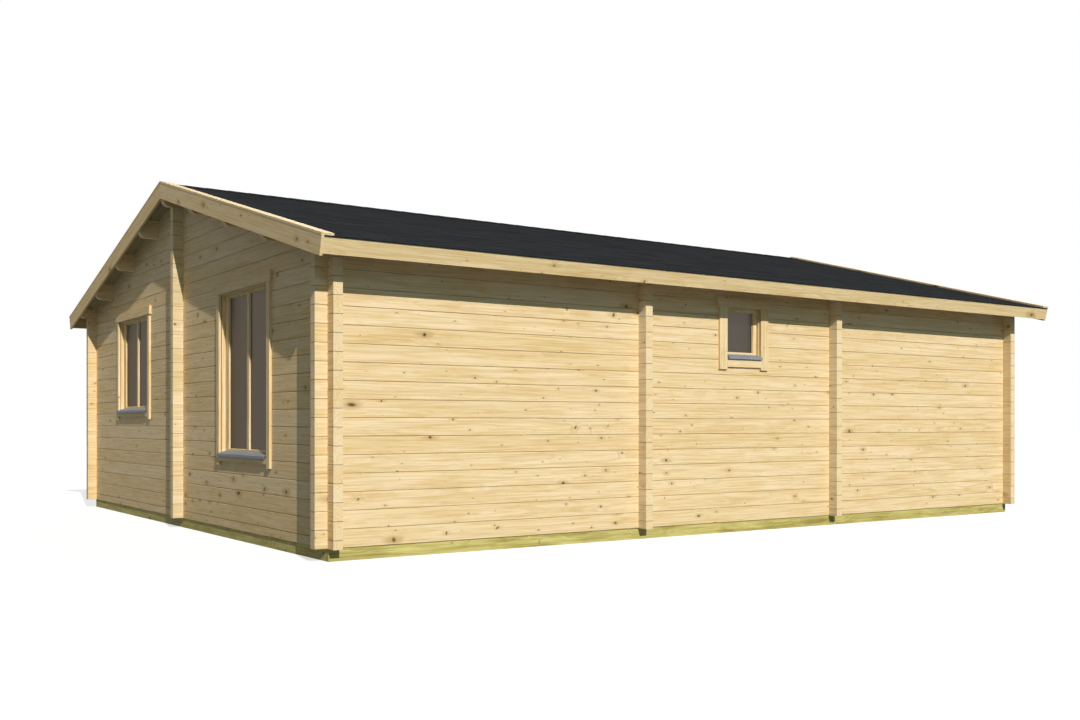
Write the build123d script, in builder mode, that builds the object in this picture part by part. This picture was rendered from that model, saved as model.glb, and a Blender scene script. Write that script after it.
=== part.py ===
"""Log cabin of crossed spruce logs under a low gable roof.

Millimetres. The origin is at the middle of the footprint, on the ground; X runs along the ridge,
Y across the cabin and Z up. The back is at -Y, the front with the door at +Y, and the two gables
are called left (-X) and right (+X).
"""

import os
from collections import namedtuple
from math import ceil, cos, floor, radians, sin, tan

from build123d import *

os.makedirs("parts", exist_ok=True)

# Logs: planks laid in courses, half lapped where walls cross
log_height = 127.0
log_thickness = 70.0
log_play = 0.4
log_end = 93.0
groove_height = 9.0
groove_depth = 5.0

# Plan of the walls, over their outer faces
cabin_length = 7790.0
cabin_width = 6320.0
cross_wall_centre = 1140.0
wall_courses = 16
plate_height = 94.0

# Foundation beams, joists and floor
foundation_height = 88.0
foundation_width = 90.0
foundation_inset = 10.0
joist_width = 45.0
joist_spacing = 600.0
floor_thickness = 26.0
floor_clearance = 3.0

# Roof
roof_pitch = 15.0
eave_overhang = 350.0
verge_overhang = 198.0
board_thickness = 19.0
roofing_thickness = 8.0
roofing_drip = 8.0
ridge_joint = 0.6
barge_thickness = 20.0
barge_height = 134.0
strip_thickness = 16.0
strip_width = 90.0
strip_lip = 2.0
fascia_thickness = 20.0
fascia_height = 112.0

# Purlins, with rounded lower corners at the verges
purlin_width = 70.0
purlin_depth = 147.0
purlin_first = 750.0
purlin_spacing = 820.0
purlin_count = 3
ridge_purlin_depth = 150.0
purlin_round = 57.0

# Windows: the heads and sills fall on joints between courses
gable_window_centre = 1566.0
gable_window_width = 1100.0
gable_head_course = 15
tall_sill_course = 4
small_sill_course = 7
back_window_width = 448.0
back_head_course = 15
back_sill_course = 11

# Window joinery, with depths measured in from the outer face of the wall
frame_jamb = 30.0
frame_head = 62.0
frame_sill = 40.0
frame_depth = 65.0
frame_set_back = 5.0
sash_depth = 35.0
sash_set_back = 35.0
gable_stile = 79.0
back_stile = 35.0
meeting_stile = 23.0
top_rail = 20.0
bottom_rail = 28.0
pane_thickness = 4.0
pane_set_back = 48.0

# Boards round the openings and the metal sills
gable_trim_width = 60.0
gable_trim_drop = 61.0
gable_apron_drop = 29.0
back_trim_width = 90.0
back_trim_drop = 81.0
back_apron_drop = 59.0
door_trim_width = 60.0
trim_thickness = 20.0
trim_lap = 22.0
head_height = 84.0
head_lap = 52.0
head_thickness = 25.0
head_horn = 25.0
sill_thickness = 2.5
sill_fall = 24.0
sill_reach = 38.0
sill_lip = 21.0
sill_rise = 55.0

# Entrance door and the inner doorways
door_width = 900.0
door_head_course = 15
door_frame_width = 50.0
door_frame_depth = 70.0
door_stop = 12.0
door_leaf_thickness = 40.0
door_leaf_set_back = 12.0
door_gap = 3.0
handle_height = 1050.0
handle_inset = 70.0
handle_plate_width = 36.0
handle_plate_height = 220.0
handle_plate_thickness = 6.0
handle_neck = 40.0
handle_length = 120.0
handle_thickness = 18.0
doorway_width = 800.0
doorway_centre = 700.0
doorway_head_course = 15

# Places worked out from the sizes above
half_length = cabin_length / 2
half_width = cabin_width / 2
half_log = log_height / 2
wall_base = foundation_height
slope_cos = cos(radians(roof_pitch))
slope_sin = sin(radians(roof_pitch))
slope_tan = tan(radians(roof_pitch))
plate_bottom = wall_base + wall_courses * log_height
underside_ridge = plate_bottom + plate_height + half_width * slope_tan
ridge_top = underside_ridge + (board_thickness + roofing_thickness) / slope_cos
eave_slope = (half_width + eave_overhang) / slope_cos
verge_face = half_length + verge_overhang
verge_end = verge_face - barge_thickness
long_wall_centre = half_width - log_thickness / 2
gable_centre = half_length - log_thickness / 2
gable_courses = ceil((underside_ridge - wall_base - half_log) / log_height)
middle_courses = floor((underside_ridge - wall_base - ridge_purlin_depth) / log_height)
ridge_purlin_bottom = wall_base + middle_courses * log_height
notch_width = log_thickness + 2 * log_play
notch_height = half_log + log_play / 2
purlin_centres = [purlin_first + row * purlin_spacing for row in range(purlin_count)]


def underside(y):
    """Height of the underside of the roof boards, y away from the ridge."""
    return underside_ridge - abs(y) * slope_tan


def purlin_bottom(y):
    """Height of the underside of a purlin centred y away from the ridge."""
    return underside(abs(y) + purlin_width / 2) - purlin_depth


def slope_point(side, down, up):
    """A point of the roof's section: down the slope from the ridge, and square to it."""
    across = side * (down * slope_cos + up * slope_sin)
    return (across, ridge_top - down * slope_sin + up * slope_cos)


def course_bottom(course, lift):
    """Underside of a course; lift is half a log on the gables and cross walls."""
    return wall_base + lift + course * log_height


def save(piece, name):
    """Label a finished piece and write it out."""
    piece.label = name
    export_step(piece, f"parts/{name}.step")


def block(low_x, high_x, low_y, high_y, mode=Mode.ADD):
    """Rectangle of a sketch between two corners."""
    with Locations(((low_x + high_x) / 2, (low_y + high_y) / 2)):
        Rectangle(high_x - low_x, high_y - low_y, mode=mode)


def log_section(outer, inner, bottom, top):
    """Section of one log, its outer edges bevelled to make V-grooves between courses."""
    inward = groove_depth if inner > outer else -groove_depth
    bevel = groove_height / 2
    corners = [(inner, bottom), (inner, top), (outer + inward, top), (outer, top - bevel),
               (outer, bottom + bevel), (outer + inward, bottom)]
    Polygon(*corners, align=None)


def notch_row(centres, bottom):
    """Half laps in the underside of one log, where other walls cross it."""
    for centre in centres:
        with Locations((centre, bottom - log_play / 2)):
            Rectangle(notch_width, notch_height, align=(Align.CENTER, Align.MIN))


def long_wall(opening_width, opening_bottom, opening_top):
    """Logs of a long wall, on the back, with a plate on top that runs out to the verges."""
    outer = -half_width
    inner = outer + log_thickness
    crossings = [-gable_centre, -cross_wall_centre, cross_wall_centre, gable_centre]
    middle = Plane.XZ.offset(long_wall_centre)
    with BuildPart() as wall:
        with BuildSketch(Plane.YZ):
            for course in range(wall_courses):
                bottom = course_bottom(course, 0)
                log_section(outer, inner, bottom, bottom + log_height - log_play)
        extrude(amount=half_length + log_end, both=True)
        with BuildSketch(Plane.YZ):
            Polygon((inner, plate_bottom), (inner, underside(inner) - log_play),
                    (outer, underside(outer) - log_play), (outer, plate_bottom + groove_height / 2),
                    (outer + groove_depth, plate_bottom), align=None)
        extrude(amount=verge_end, both=True)
        with BuildSketch(middle):
            for side in (-1, 1):
                with Locations((side * (verge_end - purlin_round / 2), plate_bottom + purlin_round / 2)):
                    Rectangle(purlin_round, purlin_round)
                with Locations((side * (verge_end - purlin_round), plate_bottom + purlin_round)):
                    Circle(purlin_round, mode=Mode.SUBTRACT)
        extrude(amount=log_thickness, both=True, mode=Mode.SUBTRACT)
        with BuildSketch(middle):
            for course in range(wall_courses + 1):
                notch_row(crossings, course_bottom(course, 0))
            block(-opening_width / 2, opening_width / 2, opening_bottom - log_play, opening_top)
        extrude(amount=log_thickness, both=True, mode=Mode.SUBTRACT)
    return wall.part


def cross_wall(centre, grooved, openings):
    """Logs of a gable or cross wall: half a log first, then courses half a log above the long walls'."""
    outer = centre - log_thickness / 2
    inner = centre + log_thickness / 2
    reach = half_width + log_end
    plate_seat = half_width - log_thickness - log_play
    corner_top = course_bottom(wall_courses, half_log) - log_play / 2
    long_walls = [-long_wall_centre, long_wall_centre]
    middle = Plane.YZ.offset(centre)
    with BuildPart() as wall:
        with BuildSketch(Plane.XZ):
            block(outer, inner, wall_base, wall_base + half_log - log_play)
            for course in range(gable_courses):
                bottom = course_bottom(course, half_log)
                if grooved:
                    log_section(outer, inner, bottom, bottom + log_height - log_play)
                else:
                    block(outer, inner, bottom, bottom + log_height - log_play)
        extrude(amount=reach, both=True)
        with BuildSketch(middle):
            Polygon((-reach, wall_base), (reach, wall_base), (reach, underside(reach) - log_play),
                    (0, underside(0) - log_play), (-reach, underside(reach) - log_play), align=None)
        extrude(amount=log_thickness, both=True, mode=Mode.INTERSECT)
        with BuildSketch(middle):
            for course in range(wall_courses):
                notch_row(long_walls, course_bottom(course, half_log))
            for course in range(middle_courses):
                notch_row([0], course_bottom(course, half_log))
            for side in (-1, 1):
                low, high = sorted((side * plate_seat, side * 2 * reach))
                block(low, high, corner_top, ridge_top)
                for purlin in purlin_centres:
                    with Locations((side * purlin, purlin_bottom(purlin) - log_play)):
                        Rectangle(notch_width, ridge_top, align=(Align.CENTER, Align.MIN))
            with Locations((0, ridge_purlin_bottom - log_play)):
                Rectangle(notch_width, ridge_top, align=(Align.CENTER, Align.MIN))
            for opening in openings:
                block(*opening)
        extrude(amount=log_thickness, both=True, mode=Mode.SUBTRACT)
    return wall.part


def middle_wall():
    """Logs between the left gable, where their ends show, and the left cross wall."""
    start = -half_length - log_end
    end = -cross_wall_centre + log_thickness / 2
    with BuildPart() as wall:
        with BuildSketch(Plane.XZ):
            for course in range(middle_courses):
                bottom = course_bottom(course, 0)
                block(start, end, bottom, bottom + log_height - log_play)
            for course in range(middle_courses):
                with Locations((-gable_centre, course_bottom(course, 0) - log_play / 2)):
                    Rectangle(notch_width, notch_height, align=(Align.CENTER, Align.MIN),
                              mode=Mode.SUBTRACT)
                with Locations((end + log_play, course_bottom(course, 0) - log_play / 2)):
                    Rectangle(log_thickness + 2 * log_play, notch_height, align=(Align.MAX, Align.MIN),
                              mode=Mode.SUBTRACT)
        extrude(amount=log_thickness / 2, both=True)
    return wall.part


# Foundation beams on the ground, under every wall
beam_y = half_width - foundation_inset - foundation_width / 2
beam_x = half_length - foundation_inset - foundation_width / 2
cross_beam_length = 2 * beam_y - foundation_width - 2 * log_play
middle_beam_start = beam_x - foundation_width / 2 - log_play
middle_beam_end = cross_wall_centre + foundation_width / 2 + log_play
with BuildPart() as foundation:
    with BuildSketch():
        for side in (-1, 1):
            with Locations((0, side * beam_y)):
                Rectangle(2 * beam_x + foundation_width, foundation_width)
            for place in (beam_x, cross_wall_centre):
                with Locations((side * place, 0)):
                    Rectangle(foundation_width, cross_beam_length)
            with Locations((side * (middle_beam_start + middle_beam_end) / 2, 0)):
                Rectangle(middle_beam_start - middle_beam_end, foundation_width)
    extrude(amount=foundation_height)
save(foundation.part, "foundation_beams")

# Rooms between the inner faces of the walls: four in the corners and one across the middle
Room = namedtuple("Room", "low_x high_x low_y high_y")
room_end = half_length - log_thickness
room_side = half_width - log_thickness
cross_face = cross_wall_centre + log_thickness / 2
cross_back = cross_wall_centre - log_thickness / 2
middle_face = log_thickness / 2
rooms = [Room(-cross_back, cross_back, -room_side, room_side)]
for low_x, high_x in ((-room_end, -cross_face), (cross_face, room_end)):
    rooms.append(Room(low_x, high_x, -room_side, -middle_face))
    rooms.append(Room(low_x, high_x, middle_face, room_side))

# Joists across each room, clear of the foundation beams that the walls stand on
beam_lap = (foundation_width + foundation_inset - log_thickness) + log_play
middle_lap = (foundation_width - log_thickness) / 2 + log_play
with BuildPart() as joists:
    with BuildSketch():
        for room in rooms:
            low_lap = beam_lap if room.low_y == -room_side else middle_lap
            high_lap = beam_lap if room.high_y == room_side else middle_lap
            joist_start = room.low_y + low_lap
            joist_end = room.high_y - high_lap
            count = ceil((room.high_x - room.low_x) / joist_spacing) - 1
            bay = (room.high_x - room.low_x) / (count + 1)
            for row in range(1, count + 1):
                joist_x = room.low_x + row * bay
                block(joist_x - joist_width / 2, joist_x + joist_width / 2, joist_start, joist_end)
    extrude(amount=foundation_height)
save(joists.part, "floor_joists")

# One deck of floor boards in each room
with BuildPart() as floor_boards:
    with BuildSketch(Plane.XY.offset(foundation_height)):
        for room in rooms:
            block(room.low_x + floor_clearance, room.high_x - floor_clearance,
                  room.low_y + floor_clearance, room.high_y - floor_clearance)
    extrude(amount=floor_thickness)
save(floor_boards.part, "floor_boards")

# Log walls
gable_head = course_bottom(gable_head_course, half_log)
tall_sill = course_bottom(tall_sill_course, half_log)
small_sill = course_bottom(small_sill_course, half_log)
back_head = course_bottom(back_head_course, 0)
back_sill = course_bottom(back_sill_course, 0)
door_head = course_bottom(door_head_course, 0)
doorway_head = course_bottom(doorway_head_course, half_log)

back_wall = long_wall(back_window_width, back_sill, back_head)
save(back_wall, "back_wall_logs")

with BuildPart() as front_wall:
    mirror(long_wall(door_width, wall_base, door_head), about=Plane.XZ)
save(front_wall.part, "front_wall_logs")

half_window = gable_window_width / 2
gable_openings = [
    (-gable_window_centre - half_window, -gable_window_centre + half_window, tall_sill - log_play, gable_head),
    (gable_window_centre - half_window, gable_window_centre + half_window, small_sill - log_play, gable_head),
]
left_gable = cross_wall(-gable_centre, True, gable_openings)
save(left_gable, "left_gable_logs")

with BuildPart() as right_gable:
    mirror(left_gable, about=Plane.YZ)
save(right_gable.part, "right_gable_logs")

doorways = []
for side in (-1, 1):
    near = side * doorway_centre - doorway_width / 2
    doorways.append((near, near + doorway_width, wall_base - log_play, doorway_head))
left_cross_wall = cross_wall(-cross_wall_centre, False, doorways)
save(left_cross_wall, "left_cross_wall_logs")

with BuildPart() as right_cross_wall:
    mirror(left_cross_wall, about=Plane.YZ)
save(right_cross_wall.part, "right_cross_wall_logs")

left_middle_wall = middle_wall()
save(left_middle_wall, "left_middle_wall_logs")

with BuildPart() as right_middle_wall:
    mirror(left_middle_wall, about=Plane.YZ)
save(right_middle_wall.part, "right_middle_wall_logs")

# Purlins, bevelled on top to the roof slope
with BuildPart() as ridge_purlin:
    with BuildSketch(Plane.YZ):
        edge = purlin_width / 2
        Polygon((-edge, ridge_purlin_bottom), (edge, ridge_purlin_bottom), (edge, underside(edge)),
                (0, underside(0)), (-edge, underside(edge)), align=None)
    extrude(amount=verge_end, both=True)
    fillet(ridge_purlin.edges().filter_by(Axis.Y), purlin_round)
save(ridge_purlin.part, "ridge_purlin")

for side, name in ((-1, "back_purlins"), (1, "front_purlins")):
    with BuildPart() as purlins:
        with BuildSketch(Plane.YZ):
            for purlin in purlin_centres:
                upper = purlin - purlin_width / 2
                lower = purlin + purlin_width / 2
                Polygon((side * upper, purlin_bottom(purlin)), (side * lower, purlin_bottom(purlin)),
                        (side * lower, underside(lower)), (side * upper, underside(upper)), align=None)
        extrude(amount=verge_end, both=True)
        fillet(purlins.edges().filter_by(Axis.Y), purlin_round)
    save(purlins.part, name)


def slope_slab(side, low, high, end):
    """Section of a layer of the roof from the ridge down to the eave, in the current sketch."""
    start = side * ridge_joint / 2
    drop = ridge_joint / 2 * slope_tan
    Polygon((start, ridge_top + low / slope_cos - drop), slope_point(side, end, low),
            slope_point(side, end, high), (start, ridge_top + high / slope_cos - drop), align=None)


# Roof deck, roofing and eave boards of each slope
deck_low = -roofing_thickness - board_thickness
for side, name in ((-1, "back"), (1, "front")):
    with BuildPart() as roof_boards:
        with BuildSketch(Plane.YZ):
            slope_slab(side, deck_low, -roofing_thickness, eave_slope - fascia_thickness)
        extrude(amount=verge_end, both=True)
    save(roof_boards.part, f"{name}_roof_boards")

    with BuildPart() as roofing:
        with BuildSketch(Plane.YZ):
            slope_slab(side, -roofing_thickness, 0, eave_slope + roofing_drip)
        extrude(amount=verge_end, both=True)
    save(roofing.part, f"{name}_roofing")

    with BuildPart() as fascia:
        with BuildSketch(Plane.YZ):
            fascia_low = -roofing_thickness - fascia_height
            Polygon(slope_point(side, eave_slope - fascia_thickness, -roofing_thickness),
                    slope_point(side, eave_slope - fascia_thickness, fascia_low),
                    slope_point(side, eave_slope, fascia_low),
                    slope_point(side, eave_slope, -roofing_thickness), align=None)
        extrude(amount=verge_end, both=True)
    save(fascia.part, f"{name}_fascia")

# Barge boards on the verges, and the cover strips that lap them and the roofing
for side, name in ((-1, "left"), (1, "right")):
    with BuildPart() as barge_boards:
        with BuildSketch(Plane.YZ.offset(side * (verge_end + barge_thickness / 2))):
            for slope in (-1, 1):
                slope_slab(slope, -barge_height, 0, eave_slope)
        extrude(amount=barge_thickness / 2, both=True)
    save(barge_boards.part, f"{name}_barge_boards")

    with BuildPart() as cover_strips:
        with BuildSketch(Plane.YZ.offset(side * (verge_face + strip_lip - strip_width / 2))):
            for slope in (-1, 1):
                slope_slab(slope, 0, strip_thickness, eave_slope)
        extrude(amount=strip_width / 2, both=True)
    save(cover_strips.part, f"{name}_cover_strips")


# Windows. Each is drawn on the outer face of its wall: x along the wall, y up, z outwards.
Window = namedtuple("Window", "face width sill head leaves stile trim_width trim_drop apron_drop")


def sash_spans(window):
    """Left and right edge of each sash within the frame."""
    clear = window.width / 2 - log_play - frame_jamb
    if window.leaves == 1:
        return [(-clear + log_play, clear - log_play)]
    return [(-clear + log_play, -log_play / 2), (log_play / 2, clear - log_play)]


def pane_spans(window):
    """Left and right edge of the glass opening of each sash."""
    spans = sash_spans(window)
    if window.leaves == 1:
        return [(spans[0][0] + window.stile, spans[0][1] - window.stile)]
    return [(spans[0][0] + window.stile, spans[0][1] - meeting_stile),
            (spans[1][0] + meeting_stile, spans[1][1] - window.stile)]


def sash_heights(window):
    """Bottom and top of a sash within the frame."""
    return window.sill + frame_sill + log_play, window.head - frame_head - log_play


def pane_heights(window):
    """Bottom and top of the glass opening."""
    low, high = sash_heights(window)
    return low + bottom_rail, high - top_rail


def window_frames(windows):
    """Frames that line the openings."""
    with BuildPart() as frames:
        for window in windows:
            edge = window.width / 2 - log_play
            with BuildSketch(window.face.offset(-frame_set_back)):
                block(-edge, edge, window.sill, window.head - log_play)
                block(frame_jamb - edge, edge - frame_jamb, window.sill + frame_sill,
                      window.head - frame_head, Mode.SUBTRACT)
            extrude(amount=-frame_depth)
    return frames.part


def window_sashes(windows):
    """Sashes, each a ring of stiles and rails."""
    with BuildPart() as sashes:
        for window in windows:
            low, high = sash_heights(window)
            pane_low, pane_high = pane_heights(window)
            with BuildSketch(window.face.offset(-sash_set_back)):
                for left, right in sash_spans(window):
                    block(left, right, low, high)
                for left, right in pane_spans(window):
                    block(left, right, pane_low, pane_high, Mode.SUBTRACT)
            extrude(amount=-sash_depth)
    return sashes.part


def window_panes(windows):
    """Glass in the sashes."""
    with BuildPart() as panes:
        for window in windows:
            low, high = pane_heights(window)
            with BuildSketch(window.face.offset(-pane_set_back)):
                for left, right in pane_spans(window):
                    block(left + log_play, right - log_play, low + log_play, high - log_play)
            extrude(amount=-pane_thickness)
    return panes.part


def window_trim(windows):
    """Boards on the wall round each opening: two sides, a thicker head and an apron under the sill."""
    with BuildPart() as trim:
        for window in windows:
            inner = window.width / 2 - trim_lap
            outer = inner + window.trim_width
            head_low = window.head - head_lap
            with BuildSketch(window.face):
                for side in (-1, 1):
                    low, high = sorted((side * inner, side * outer))
                    block(low, high, window.sill - window.trim_drop, head_low - log_play)
                block(-inner + log_play, inner - log_play, window.sill - window.apron_drop,
                      window.sill + sill_rise - sill_fall - sill_thickness - log_play)
            extrude(amount=trim_thickness)
            with BuildSketch(window.face):
                block(-outer - head_horn, outer + head_horn, head_low, head_low + head_height)
            extrude(amount=head_thickness)
    return trim.part


def window_sills(windows):
    """Bent metal sills that fall from the sash, between the jambs, over the apron to a lip."""
    with BuildPart() as sills:
        for window in windows:
            edge = window.width / 2 - trim_lap - log_play
            jamb = window.width / 2 - frame_jamb - 2 * log_play
            across = Plane(origin=window.face.origin, x_dir=window.face.z_dir, z_dir=-window.face.x_dir)
            back = log_play - sash_set_back
            top = window.sill + sill_rise
            lip_top = top - sill_fall
            with BuildSketch(across):
                Polygon((back, top), (sill_reach, lip_top), (sill_reach, lip_top - sill_lip),
                        (sill_reach - sill_thickness, lip_top - sill_lip),
                        (sill_reach - sill_thickness, lip_top - sill_thickness),
                        (back, top - sill_thickness), align=None)
            extrude(amount=edge, both=True)
            with BuildSketch(window.face.offset(log_play - frame_set_back)):
                for side in (-1, 1):
                    low, high = sorted((side * jamb, side * window.width / 2))
                    block(low, high, window.sill, window.head)
            extrude(amount=-sash_set_back, mode=Mode.SUBTRACT)
    return sills.part


def wall_face(x, y, outward):
    """Plane on the outer face of a wall, its z pointing outwards and its y up."""
    along = Vector(0, 0, 1).cross(Vector(*outward))
    return Plane(origin=(x, y, 0), x_dir=along, z_dir=outward)


window_groups = {"back": [
    Window(wall_face(0, -half_width, (0, -1, 0)), back_window_width, back_sill, back_head,
           1, back_stile, back_trim_width, back_trim_drop, back_apron_drop)
]}
for side, name in ((-1, "left"), (1, "right")):
    window_groups[name] = [
        Window(wall_face(side * half_length, centre, (side, 0, 0)), gable_window_width, sill, gable_head,
               2, gable_stile, gable_trim_width, gable_trim_drop, gable_apron_drop)
        for centre, sill in ((-gable_window_centre, tall_sill), (gable_window_centre, small_sill))
    ]
for name, windows in window_groups.items():
    save(window_frames(windows), f"{name}_window_frames")
    save(window_sashes(windows), f"{name}_window_sashes")
    save(window_panes(windows), f"{name}_window_panes")
    save(window_trim(windows), f"{name}_window_trim")
    save(window_sills(windows), f"{name}_window_sills")

# Entrance door in the front wall, shut
door_face = wall_face(0, half_width, (0, 1, 0))
door_edge = door_width / 2 - log_play
leaf_edge = door_edge - door_frame_width + door_stop - door_gap
leaf_low = wall_base + door_frame_width - door_stop + door_gap
leaf_high = door_head - log_play - door_frame_width + door_stop - door_gap
rebate_depth = door_leaf_set_back + door_leaf_thickness + log_play
with BuildPart() as door_frame:
    with BuildSketch(door_face):
        block(-door_edge, door_edge, wall_base, door_head - log_play)
        block(door_frame_width - door_edge, door_edge - door_frame_width, wall_base + door_frame_width,
              door_head - log_play - door_frame_width, Mode.SUBTRACT)
    extrude(amount=-door_frame_depth)
    with BuildSketch(door_face):
        block(-leaf_edge - door_gap, leaf_edge + door_gap, leaf_low - door_gap, leaf_high + door_gap)
    extrude(amount=-rebate_depth, mode=Mode.SUBTRACT)
save(door_frame.part, "front_door_frame")

with BuildPart() as door_leaf:
    with BuildSketch(door_face.offset(-door_leaf_set_back)):
        block(-leaf_edge, leaf_edge, leaf_low, leaf_high)
    extrude(amount=-door_leaf_thickness)
save(door_leaf.part, "front_door_leaf")

with BuildPart() as door_trim:
    trim_inner = door_width / 2 - trim_lap
    trim_outer = trim_inner + door_trim_width
    head_low = door_head - head_lap
    with BuildSketch(door_face):
        for side in (-1, 1):
            low, high = sorted((side * trim_inner, side * trim_outer))
            block(low, high, wall_base, head_low - log_play)
    extrude(amount=trim_thickness)
    with BuildSketch(door_face):
        block(-trim_outer - head_horn, trim_outer + head_horn, head_low, head_low + head_height)
    extrude(amount=head_thickness)
save(door_trim.part, "front_door_trim")

handle_x = leaf_edge - handle_inset
handle_z = wall_base + handle_height
with BuildPart() as door_handle:
    with BuildSketch(door_face.offset(-door_leaf_set_back)):
        with Locations((handle_x, handle_z)):
            Rectangle(handle_plate_width, handle_plate_height)
    extrude(amount=handle_plate_thickness)
    with BuildSketch(door_face.offset(-door_leaf_set_back)):
        with Locations((handle_x, handle_z)):
            Circle(handle_thickness / 2)
    extrude(amount=handle_neck)
    with BuildSketch(door_face.offset(handle_neck - door_leaf_set_back - handle_thickness)):
        with Locations((handle_x - handle_length / 2, handle_z)):
            Rectangle(handle_length + handle_thickness, handle_thickness)
    extrude(amount=handle_thickness)
save(door_handle.part, "front_door_handle")
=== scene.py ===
# %% [markdown]
# # A log cabin in planed spruce
# The cabin's structure comes from the CAD model: every log, purlin, board and window is already in place,
# at its real size, in metres, with X along the ridge, the back wall at -Y and Z up. This lesson gives
# each surface its finish, lays the roof covering, the roof boards, the floor and the door leaf as
# separate boards and tabs, and sets up the light and the camera.

# %% Load the frame
import math
from typing import NamedTuple

import bmesh
import bpy
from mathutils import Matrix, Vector


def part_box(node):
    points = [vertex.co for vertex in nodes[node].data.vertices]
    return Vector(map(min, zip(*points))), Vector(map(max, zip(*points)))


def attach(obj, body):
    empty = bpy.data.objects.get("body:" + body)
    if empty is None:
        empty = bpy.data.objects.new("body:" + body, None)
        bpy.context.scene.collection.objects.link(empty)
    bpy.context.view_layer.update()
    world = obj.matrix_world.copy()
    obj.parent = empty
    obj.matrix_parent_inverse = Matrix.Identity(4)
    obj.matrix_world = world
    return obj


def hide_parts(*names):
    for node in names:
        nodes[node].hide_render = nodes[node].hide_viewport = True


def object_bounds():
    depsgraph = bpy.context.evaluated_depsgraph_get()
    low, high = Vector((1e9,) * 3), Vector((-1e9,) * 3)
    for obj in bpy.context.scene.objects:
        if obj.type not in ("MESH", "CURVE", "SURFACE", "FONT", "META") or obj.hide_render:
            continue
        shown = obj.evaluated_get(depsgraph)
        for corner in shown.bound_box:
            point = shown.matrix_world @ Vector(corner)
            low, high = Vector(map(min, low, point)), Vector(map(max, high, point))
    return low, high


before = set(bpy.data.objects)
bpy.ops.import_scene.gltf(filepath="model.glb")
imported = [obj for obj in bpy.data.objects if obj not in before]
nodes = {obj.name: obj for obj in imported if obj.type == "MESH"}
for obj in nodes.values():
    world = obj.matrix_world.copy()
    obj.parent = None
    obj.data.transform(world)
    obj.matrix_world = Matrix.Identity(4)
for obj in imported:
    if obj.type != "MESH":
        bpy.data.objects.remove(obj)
cad_low, cad_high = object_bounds()
PRINTED_DIGITS = 3


def rounded(values):
    """Values with a few digits after the point, for printing."""
    return [round(value, PRINTED_DIGITS) for value in values]


print("CAD box", rounded(cad_high - cad_low))

# %% [markdown]
# ## The camera
# The photo was taken from low down, off the corner between the left gable and the back wall, with the
# camera held level: its upright edges stay upright. A level camera that shows more sky than ground is a
# shifted lens, so the horizon's row in the picture sets the shift, and the camera isn't tilted.

# %% Camera
PHOTO_WIDTH = 1080
PHOTO_HEIGHT = 720
HORIZON_ROW = 424
FOCAL_PIXELS = 1140.7
SENSOR_WIDTH = 36.0
FAR_CLIP = 200.0
CAMERA_PLACE = Vector((-7.103, -10.317, 0.934))
CAMERA_AIM = Vector((0.5692, 0.8222, 0.0))

lens = bpy.data.cameras.new("photo_lens")
lens.sensor_width = SENSOR_WIDTH
lens.lens = FOCAL_PIXELS * SENSOR_WIDTH / PHOTO_WIDTH
lens.shift_y = (HORIZON_ROW - PHOTO_HEIGHT / 2) / PHOTO_WIDTH
lens.clip_end = FAR_CLIP
camera = bpy.data.objects.new("photo_camera", lens)
camera.location = CAMERA_PLACE
camera.rotation_euler = CAMERA_AIM.to_track_quat("-Z", "Y").to_euler()
bpy.context.scene.collection.objects.link(camera)
bpy.context.scene.camera = camera
print("lens and its shift", rounded((lens.lens, lens.shift_y)))

# %% [markdown]
# ## Shader maths as Python
# A wood finish is mostly arithmetic: which log am I on, how far from its heart, how near a knot. Dragging
# Math nodes about hides that arithmetic, so one small class wraps a socket and gives it Python's
# operators. An expression such as `1 - mask` then adds its own Math node. Every other node comes from the
# `node` method.


# %% A socket that takes part in arithmetic
def feed(socket, value):
    """Link a wire to an input, or set the input to a plain value."""
    if isinstance(value, Wire):
        socket.id_data.links.new(value.socket, socket)
    elif socket.type == "RGBA" and len(value) == 3:
        socket.default_value = (*value, 1.0)
    else:
        socket.default_value = value


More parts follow.
